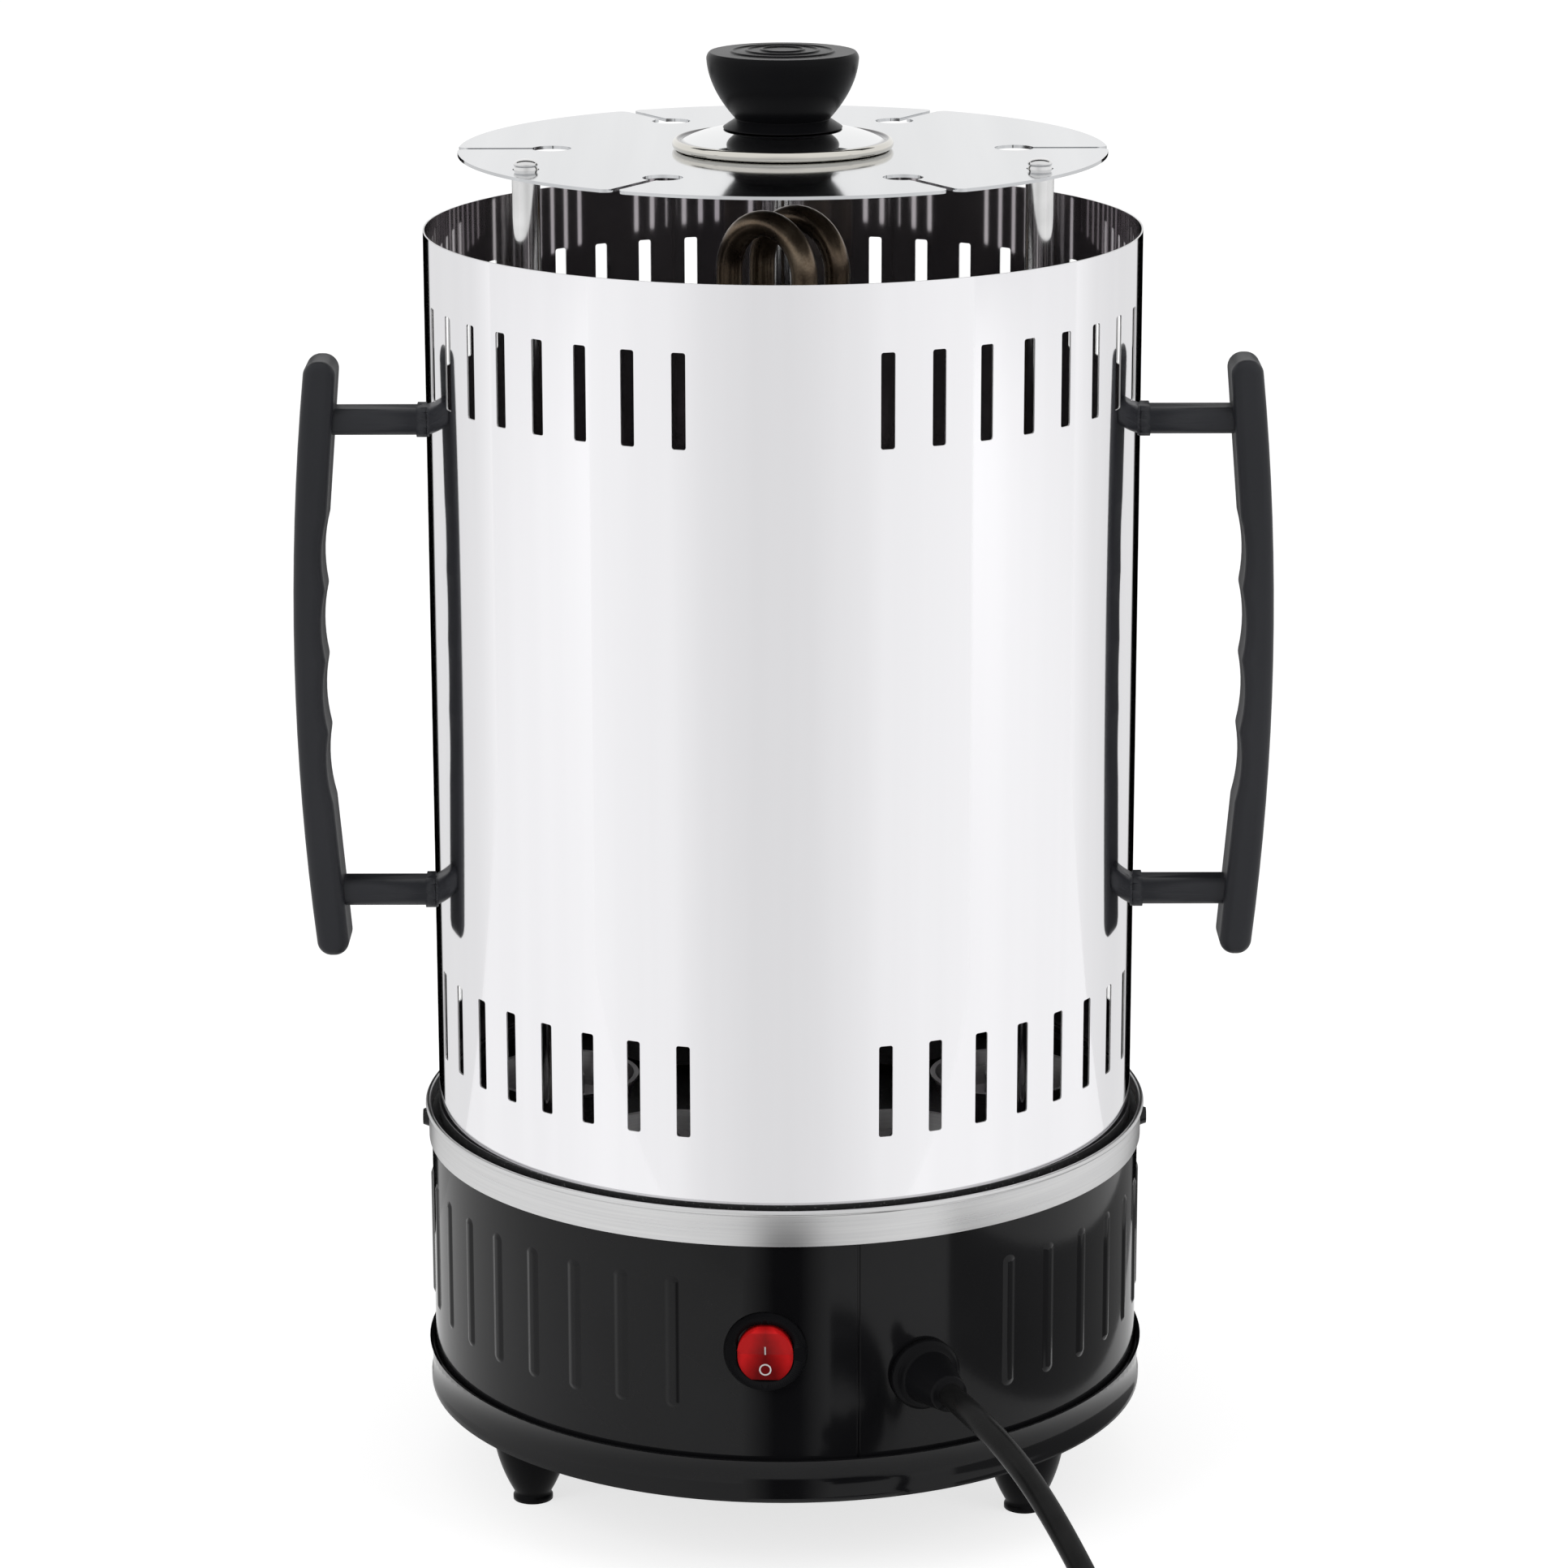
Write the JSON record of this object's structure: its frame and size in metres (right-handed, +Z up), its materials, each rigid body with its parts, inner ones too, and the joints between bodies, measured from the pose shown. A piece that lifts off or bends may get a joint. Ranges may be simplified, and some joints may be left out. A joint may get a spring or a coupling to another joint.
{
  "type": "vertical kebab grill",
  "caption": "Electric upright kebab grill: slotted polished casing with side handles on a black drum base with rocker switch, lift-off skewer disc with knob, geared skewer sockets, mains lead",
  "frame": {"origin": "On the axis of the grill at table level, under the middle of its three feet.", "axes": "+Z up along the axis, -Y the front with the switch and the cord gland, +X to the viewer's right, through the right handle."},
  "size_m": [0.3048, 0.4165, 0.4543],
  "materials": {
    "polished_steel": "polished",
    "plated_steel": "plated",
    "brushed_steel": "brushed",
    "turned_steel": "turned",
    "black_enamel": "gloss",
    "charcoal_plastic": "satin",
    "black_plastic": "semi-gloss",
    "red_plastic": "gloss",
    "cord_rubber": "satin",
    "heater_steel": "heat-tinted",
    "white_ceramic": "satin",
    "nylon": "satin",
    "bronze": "satin",
    "motor_housing": "satin"
  },
  "bodies": {
    "base": {"bottom_pan": "black_enamel", "foot_left": "black_plastic", "foot_right": "black_plastic", "foot_rear": "black_plastic", "base_drum": "black_enamel", "rim_ring": "brushed_steel", "base_screws": "plated_steel", "drip_tray": "black_enamel", "gear_plate": "brushed_steel", "post_left": "plated_steel", "post_right": "plated_steel", "post_rear": "plated_steel", "plate_spacers": "brushed_steel", "post_nuts": "plated_steel", "heater_front": "heater_steel", "heater_rear": "heater_steel", "heater_mount": "white_ceramic", "heater_pins": "bronze", "sun_bush": "bronze", "sun_retainer": "turned_steel", "tray_bushes": "bronze", "gear_motor": "motor_housing", "terminal_block": "white_ceramic", "switch_housing": "black_plastic", "switch_terminals": "bronze", "cord_gland": "black_plastic", "power_cord": "cord_rubber", "cord_coil": "cord_rubber", "cord_tie": "cord_rubber", "plug_body": "black_plastic", "plug_pins": "bronze"},
    "casing_unit": {"casing": "polished_steel", "handle_left": "charcoal_plastic", "handle_right": "charcoal_plastic", "handle_screws": "plated_steel"},
    "top_unit": {"skewer_disc": "polished_steel", "knob": "black_plastic", "knob_saucer": "polished_steel", "knob_screw": "plated_steel"},
    "rocker_unit": {"switch_rocker": "red_plastic"},
    "sun_wheel": {"sun_gear": "nylon"},
    "motor_rotor": {"motor_pinion": "turned_steel"},
    "skewer_drive_1": {"spindle_1": "turned_steel", "spindle_gear_1": "nylon", "drip_cup_1": "brushed_steel"},
    "skewer_drive_2": {"spindle_2": "turned_steel", "spindle_gear_2": "nylon", "drip_cup_2": "brushed_steel"},
    "skewer_drive_3": {"spindle_3": "turned_steel", "spindle_gear_3": "nylon", "drip_cup_3": "brushed_steel"},
    "skewer_drive_4": {"spindle_4": "turned_steel", "spindle_gear_4": "nylon", "drip_cup_4": "brushed_steel"},
    "skewer_drive_5": {"spindle_5": "turned_steel", "spindle_gear_5": "nylon", "drip_cup_5": "brushed_steel"},
    "skewer_drive_6": {"spindle_6": "turned_steel", "spindle_gear_6": "nylon", "drip_cup_6": "brushed_steel"}
  },
  "joints": [
    {"name": "casing_lift", "type": "slide", "parent": "base", "child": "casing_unit", "axis": [0, 0, 1], "range_m": [0, 0.34]},
    {"name": "top_lift", "type": "slide", "parent": "base", "child": "top_unit", "axis": [0, 0, 1], "range_m": [0, 0.12]},
    {"name": "switch_rock", "type": "hinge", "parent": "base", "child": "rocker_unit", "pos_m": [-0.00581, -0.11095, 0.077], "axis": [-0.9986, 0.0523, 0], "range_deg": [0, 20]},
    {"name": "sun_turn", "type": "hinge", "parent": "base", "child": "sun_wheel", "pos_m": [0, 0, 0.0985], "axis": [0, 0, 1], "continuous": true},
    {"name": "motor_turn", "type": "hinge", "parent": "base", "child": "motor_rotor", "pos_m": [-0.05066, 0.02925, 0.0985], "axis": [0, 0, 1], "continuous": true},
    {"name": "skewer_turn_1", "type": "hinge", "parent": "base", "child": "skewer_drive_1", "pos_m": [0.03525, -0.06105, 0.0985], "axis": [0, 0, 1], "continuous": true},
    {"name": "skewer_turn_2", "type": "hinge", "parent": "base", "child": "skewer_drive_2", "pos_m": [0.0705, 0, 0.0985], "axis": [0, 0, 1], "continuous": true},
    {"name": "skewer_turn_3", "type": "hinge", "parent": "base", "child": "skewer_drive_3", "pos_m": [0.03525, 0.06105, 0.0985], "axis": [0, 0, 1], "continuous": true},
    {"name": "skewer_turn_4", "type": "hinge", "parent": "base", "child": "skewer_drive_4", "pos_m": [-0.03525, 0.06105, 0.0985], "axis": [0, 0, 1], "continuous": true},
    {"name": "skewer_turn_5", "type": "hinge", "parent": "base", "child": "skewer_drive_5", "pos_m": [-0.0705, 0, 0.0985], "axis": [0, 0, 1], "continuous": true},
    {"name": "skewer_turn_6", "type": "hinge", "parent": "base", "child": "skewer_drive_6", "pos_m": [-0.03525, -0.06105, 0.0985], "axis": [0, 0, 1], "continuous": true}
  ],
  "couplings": [
    {"joint": "motor_turn", "follows": "sun_turn", "ratio": -5.5},
    {"joint": "skewer_turn_1", "follows": "sun_turn", "ratio": -2.3571},
    {"joint": "skewer_turn_2", "follows": "sun_turn", "ratio": -2.3571},
    {"joint": "skewer_turn_3", "follows": "sun_turn", "ratio": -2.3571},
    {"joint": "skewer_turn_4", "follows": "sun_turn", "ratio": -2.3571},
    {"joint": "skewer_turn_5", "follows": "sun_turn", "ratio": -2.3571},
    {"joint": "skewer_turn_6", "follows": "sun_turn", "ratio": -2.3571}
  ]
}
